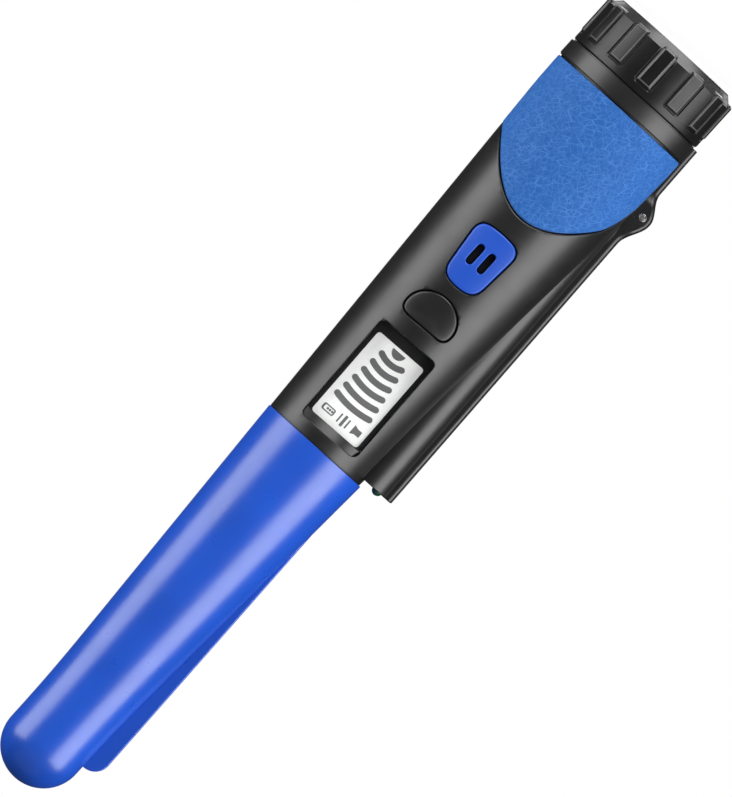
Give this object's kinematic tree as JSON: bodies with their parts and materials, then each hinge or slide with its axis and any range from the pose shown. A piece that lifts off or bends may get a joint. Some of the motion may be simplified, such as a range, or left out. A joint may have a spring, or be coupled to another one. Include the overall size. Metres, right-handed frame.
{
  "type": "pinpointer probe",
  "caption": "Hand-held metal detecting pinpointer: a hollow coil sheath with a scraping fin, a display handle with two keys, and a screw battery cap.",
  "frame": {"origin": "centre of the battery cap's flat end face, on the handle's axis", "axes": "+Z along the axis from the battery cap to the probe's tip; the display and the keys face -Y; the keel, the lamp, the lanyard boss and the fin are on the -X side"},
  "size_m": [0.0448, 0.0404, 0.24],
  "materials": {
    "sheath_blue": "gloss",
    "shell_black": "satin",
    "cap_black": "satin",
    "grip_blue": "matte",
    "seal_rubber": "matte",
    "foam": "matte",
    "steel": "satin",
    "brass": "satin",
    "copper_winding": "satin",
    "ferrite": "matte",
    "white_plastic": "satin",
    "board_green": "satin",
    "component_black": "matte",
    "screen_grey": "satin",
    "window_clear": "polished",
    "lamp_clear": "polished",
    "battery_case": "satin",
    "lead_black": "satin",
    "lead_red": "satin"
  },
  "bodies": {
    "handle": {"probe_sheath": "sheath_blue", "front_shell": "shell_black", "rear_shell": "shell_black", "screen_bezel": "shell_black", "neck_ring": "cap_black", "front_grip_pad": "grip_blue", "rear_grip_pad": "grip_blue", "sheath_seal_ring": "seal_rubber", "cap_seal_ring": "seal_rubber", "lamp_grommet": "seal_rubber", "tip_cushion": "foam", "former_spacer": "foam", "lanyard_pin": "steel", "shell_screw_1": "steel", "shell_screw_2": "steel", "shell_screw_3": "steel", "shell_screw_4": "steel", "vibration_motor": "steel", "positive_contact": "brass", "negative_contact": "brass", "rear_receive_winding": "copper_winding", "transmit_winding": "copper_winding", "front_receive_winding": "copper_winding", "ferrite_rod": "ferrite", "coil_former": "white_plastic", "screen_backlight": "white_plastic", "coil_connector": "white_plastic", "circuit_board": "board_green", "power_switch": "component_black", "mode_switch": "component_black", "controller_chip": "component_black", "amplifier_chip": "component_black", "storage_capacitor": "component_black", "sounder": "component_black", "battery_bulkhead": "component_black", "screen_panel": "screen_grey", "display_window": "window_clear", "lamp": "lamp_clear", "battery": "battery_case", "coil_lead": "lead_black", "lamp_lead": "lead_black", "negative_lead": "lead_black", "positive_lead": "lead_red"},
    "power_key": {"power_key": "sheath_blue", "power_key_inlay": "seal_rubber"},
    "power_plunger": {"power_switch_plunger": "white_plastic"},
    "mode_key": {"mode_key": "shell_black"},
    "mode_plunger": {"mode_switch_plunger": "white_plastic"},
    "motor_weight": {"eccentric_weight": "brass"},
    "cap_slider": {"pressure_disc": "white_plastic", "battery_cushion": "foam"},
    "battery_cap": {"battery_cap": "cap_black"}
  },
  "joints": [
    {"name": "power_key_slide", "type": "slide", "parent": "handle", "child": "power_key", "axis": [0, 1, 0], "range_m": [0, 0.0005], "stiffness_N_per_m": 300, "springref_m": -0.0002},
    {"name": "power_plunger_slide", "type": "slide", "parent": "handle", "child": "power_plunger", "axis": [0, 1, 0], "range_m": [0, 0.0005]},
    {"name": "mode_key_slide", "type": "slide", "parent": "handle", "child": "mode_key", "axis": [0, 1, 0], "range_m": [0, 0.0005], "stiffness_N_per_m": 300, "springref_m": -0.0002},
    {"name": "mode_plunger_slide", "type": "slide", "parent": "handle", "child": "mode_plunger", "axis": [0, 1, 0], "range_m": [0, 0.0005]},
    {"name": "motor_weight_spin", "type": "hinge", "parent": "handle", "child": "motor_weight", "pos_m": [0, 0.007, 0.084], "axis": [0, 0, 1], "continuous": true},
    {"name": "cap_slide", "type": "slide", "parent": "handle", "child": "cap_slider", "axis": [0, 0, -1], "range_m": [0, 0.0091]},
    {"name": "cap_turn", "type": "hinge", "parent": "cap_slider", "child": "battery_cap", "pos_m": [0, 0, 0], "axis": [0, 0, -1], "range_deg": [0, 1080]}
  ],
  "couplings": [
    {"joint": "power_plunger_slide", "follows": "power_key_slide", "ratio": 1},
    {"joint": "mode_plunger_slide", "follows": "mode_key_slide", "ratio": 1},
    {"joint": "cap_slide", "follows": "cap_turn", "m_per_rad": 0.00047746}
  ]
}
